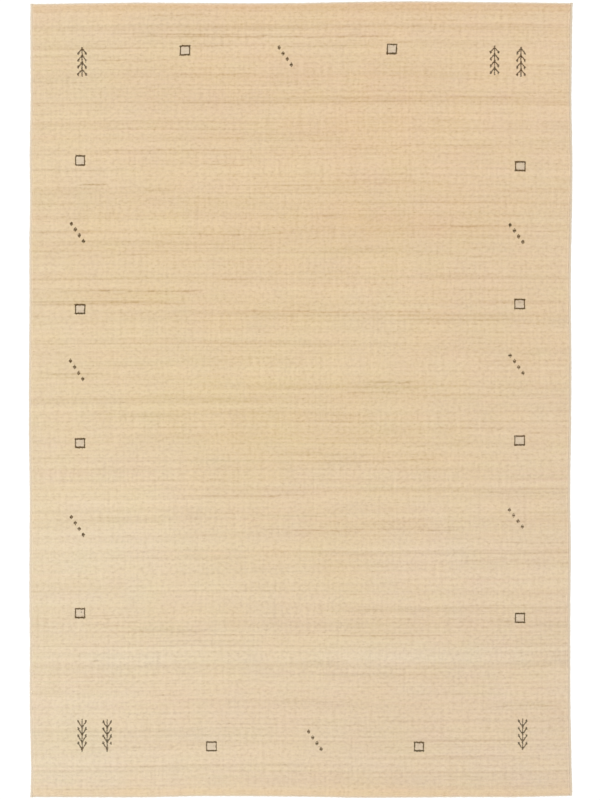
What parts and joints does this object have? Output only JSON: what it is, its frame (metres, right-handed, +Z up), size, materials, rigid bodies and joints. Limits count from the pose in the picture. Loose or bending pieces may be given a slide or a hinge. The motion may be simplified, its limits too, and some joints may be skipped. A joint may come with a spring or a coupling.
{
  "type": "wool rug",
  "caption": "Rectangular hand-woven wool rug lying flat: sheared cut-pile field with sparse dark motifs along its border, flat-woven hems at the ends and wrapped selvages at the sides.",
  "frame": {"origin": "on the floor, under the middle of the rug", "axes": "+X across the rug, +Y along it towards the end with the two sets of upright trees, +Z up through the pile"},
  "size_m": [1.6074, 2.3566, 0.012],
  "materials": {
    "pile_wool": "sheared wool pile, undyed beige with uneven dye lots",
    "selvage_wool": "plied wool yarn wrapped over the edge warps"
  },
  "bodies": {
    "root": {"pile_field": "pile_wool", "selvage_left": "selvage_wool", "selvage_right": "selvage_wool"}
  },
  "joints": []
}
